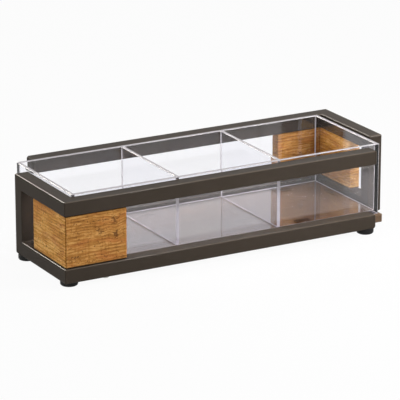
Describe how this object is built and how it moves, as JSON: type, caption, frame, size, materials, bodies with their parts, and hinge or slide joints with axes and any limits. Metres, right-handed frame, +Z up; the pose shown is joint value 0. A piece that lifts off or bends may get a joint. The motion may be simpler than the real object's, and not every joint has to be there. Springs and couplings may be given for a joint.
{
  "type": "condiment organizer",
  "caption": "Table-top packet organizer: a clear compartment bin lifts out of two L-shaped tube frames with pine corners, a base board and rubber feet.",
  "frame": {"origin": "middle of the footprint, on the plane that the feet rest on", "axes": "+X along the long side, from the corner with the left post to the right end; +Y from the front to the rear; +Z up"},
  "size_m": [0.331, 0.1344, 0.0765],
  "materials": {
    "powder_coat": "dark bronze powder coat, satin",
    "pine": "rustic pine, clear satin",
    "zinc": "zinc plated",
    "stained_board": "dark brown stain",
    "rubber": "matt",
    "clear_sheet": "clear, polished edges"
  },
  "bodies": {
    "frame": {"front_top_rail": "powder_coat", "left_top_rail": "powder_coat", "left_post": "powder_coat", "front_bottom_rail": "powder_coat", "left_bottom_rail": "powder_coat", "rear_top_rail": "powder_coat", "right_top_rail": "powder_coat", "right_post": "powder_coat", "rear_bottom_rail": "powder_coat", "right_bottom_rail": "powder_coat", "front_top_cap": "powder_coat", "front_bottom_cap": "powder_coat", "rear_top_cap": "powder_coat", "rear_bottom_cap": "powder_coat", "front_wood": "pine", "left_wood": "pine", "rear_wood": "pine", "right_wood": "pine", "wood_screws": "zinc", "base_board": "stained_board", "base_tabs": "powder_coat", "base_screws": "zinc", "left_corner_foot": "rubber", "left_post_foot": "rubber", "front_end_foot": "rubber", "right_corner_foot": "rubber", "right_post_foot": "rubber", "rear_end_foot": "rubber", "foot_screws": "zinc"},
    "bin": {"bin_front_wall": "clear_sheet", "bin_rear_wall": "clear_sheet", "bin_left_wall": "clear_sheet", "bin_right_wall": "clear_sheet", "bin_floor": "clear_sheet", "left_divider": "clear_sheet", "right_divider": "clear_sheet"}
  },
  "joints": [
    {"name": "bin_lift", "type": "slide", "parent": "frame", "child": "bin", "axis": [0, 0, 1], "range_m": [0, 0.075]}
  ]
}
